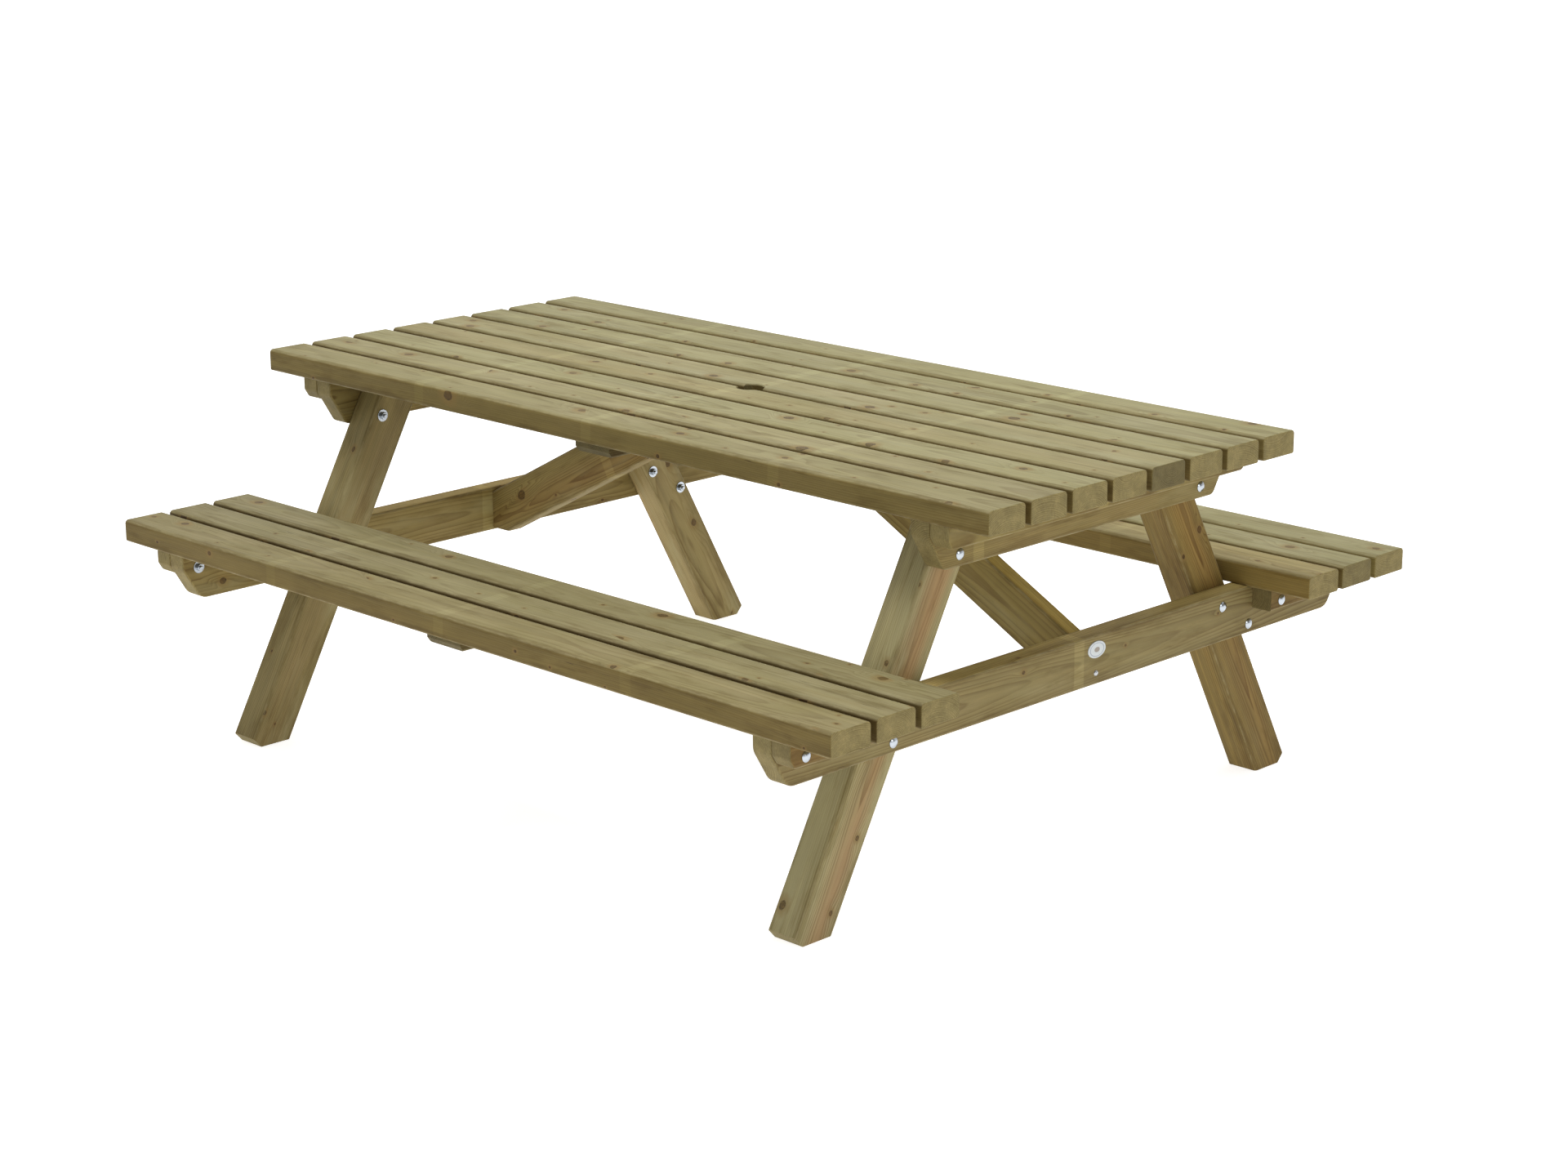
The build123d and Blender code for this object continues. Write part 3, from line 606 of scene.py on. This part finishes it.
def badge_face():
    """A white oval with one thin plain ring and a plain middle spot."""
    low, high = (Vector(corner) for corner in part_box("badge"))
    middle = (low + high) / 2
    reach = (high - low) / 2
    material = bpy.data.materials.new("badge_face")
    material.use_nodes = True
    g = Graph(material.node_tree)
    here = g.add("ShaderNodeTexCoord").outputs["Object"]
    away = g.vector("MULTIPLY", g.vector("SUBTRACT", here, middle), (0.0, 1 / reach.y, 1 / reach.z))
    out = g.vector("LENGTH", away)
    dust = g.noise(here, (300.0, 300.0, 300.0), 3.0, 0.6)
    colour = g.mix(g.step(dust, 0.4, 0.7, 0.0, 0.25), BADGE_WHITE, BADGE_DUSTY)
    ring = g.math("MULTIPLY", g.step(out, 0.72, 0.75), g.step(out, 0.83, 0.80))
    colour = g.mix(g.math("MULTIPLY", ring, 0.75), colour, BADGE_RING)
    colour = g.mix(g.math("MULTIPLY", g.step(out, 0.32, 0.29), 0.8), colour, BADGE_SPOT)
    shader = material.node_tree.nodes["Principled BSDF"]
    g.feed(shader.inputs["Base Color"], colour)
    g.feed(shader.inputs["Roughness"], g.math("MULTIPLY_ADD", dust, 0.2, 0.3))
    return material


# ---- studio -------------------------------------------------------------------------------------
FLOOR_SIZE = 120.0
FLOOR_WHITE = (0.72, 0.72, 0.72, 1)
FLOOR_GLOW = 0.8
OVERHEAD_WATTS, FILL_WATTS = 182, 34
ROOM_BRIGHT, ROOM_DIMMED_BY = 0.95, 0.72
ROOM_DIM_SIDE = (0.70, -0.71, 0.0)  # the room is dimmer on the camera's side, above the floor

# The camera, fitted to the straight timbers in the photograph.
CAMERA_PLACE = (4.345, -4.288, 2.0535)
CAMERA_YAW, CAMERA_PITCH, CAMERA_ROLL = (math.radians(angle) for angle in (134.772, -15.637, -0.225))
CAMERA_LENS = 72.38


def lamp(name, location, target, size, watts):
    """A round soft lamp that looks at a point."""
    data = bpy.data.lights.new(name, "AREA")
    data.shape = "DISK"
    data.size = size
    data.energy = watts
    item = bpy.data.objects.new(name, data)
    item.location = location
    item.rotation_euler = (Vector(target) - Vector(location)).to_track_quat("-Z", "Y").to_euler()
    bpy.context.collection.objects.link(item)


def floor():
    """A large pale sheet that glows."""
    bpy.ops.mesh.primitive_plane_add(size=FLOOR_SIZE, location=(0, 0, 0))
    sheet = bpy.context.object
    sheet.name = "floor"
    paint = bpy.data.materials.new("pale_floor")
    paint.use_nodes = True
    shader = paint.node_tree.nodes["Principled BSDF"]
    shader.inputs["Base Color"].default_value = FLOOR_WHITE
    shader.inputs["Roughness"].default_value = 0.9
    shader.inputs["Specular IOR Level"].default_value = 0.1
    shader.inputs["Emission Color"].default_value = (1.0, 1.0, 1.0, 1)
    shader.inputs["Emission Strength"].default_value = FLOOR_GLOW
    sheet.data.materials.append(paint)


def room():
    """A soft white room all round, dimmer on the camera's side."""
    world = bpy.data.worlds.new("room")
    world.use_nodes = True
    g = Graph(world.node_tree)
    way = g.add("ShaderNodeTexCoord").outputs["Generated"]
    up = g.split(way)[2]
    front = g.vector("DOT_PRODUCT", way, ROOM_DIM_SIDE)
    backdrop = world.node_tree.nodes["Background"]
    dim = g.math("MULTIPLY", g.step(front, -0.1, 0.5), g.step(up, 0.02, 0.20))
    brightness = g.math("MULTIPLY_ADD", dim, -ROOM_DIMMED_BY, ROOM_BRIGHT)
    g.feed(backdrop.inputs["Color"], g.join(brightness, brightness, brightness))
    g.feed(backdrop.inputs["Strength"], 1.0)
    bpy.context.scene.world = world


def studio():
    """The glowing floor, one big soft lamp overhead, a fill from the right and the white room."""
    floor()
    lamp("overhead", (0.4, -0.9, 5.4), (0, 0, 0.5), 1.9, OVERHEAD_WATTS)
    lamp("fill", (6.0, -1.0, 2.2), (0, 0, 0.4), 2.0, FILL_WATTS)
    room()
    bpy.context.scene.view_settings.view_transform = "Standard"


def camera():
    """Stands at the front right corner, a little above the table, and looks down at it."""
    data = bpy.data.cameras.new("camera")
    data.lens = CAMERA_LENS
    data.sensor_width = 36.0
    data.clip_end = 300.0
    item = bpy.data.objects.new("camera", data)
    stand = Matrix.Translation(CAMERA_PLACE)
    turn = Matrix.Rotation(CAMERA_YAW - math.pi / 2, 4, "Z")
    tilt = Matrix.Rotation(CAMERA_PITCH + math.pi / 2, 4, "X")
    roll = Matrix.Rotation(CAMERA_ROLL, 4, "Z")
    item.matrix_world = stand @ turn @ tilt @ roll
    bpy.context.collection.objects.link(item)
    bpy.context.scene.camera = item


def dress(name, material):
    data = nodes[name].data
    data.materials.clear()
    data.materials.append(material)


def main():
    bolt_zinc = zinc("bolt_zinc", (178, 184, 190), 0.14)
    screw_zinc = zinc("screw_zinc", (180, 182, 184), 0.26)
    for seed, name in enumerate(sorted(nodes)):
        if name.endswith("_screws"):
            dress(name, screw_zinc)
        elif name.endswith(("_bolts", "_nuts", "_washers")):
            dress(name, bolt_zinc)
        elif name == "badge":
            dress(name, badge_face())
        else:
            dress(name, softwood(name, seed + 1))
    studio()
    camera()


main()
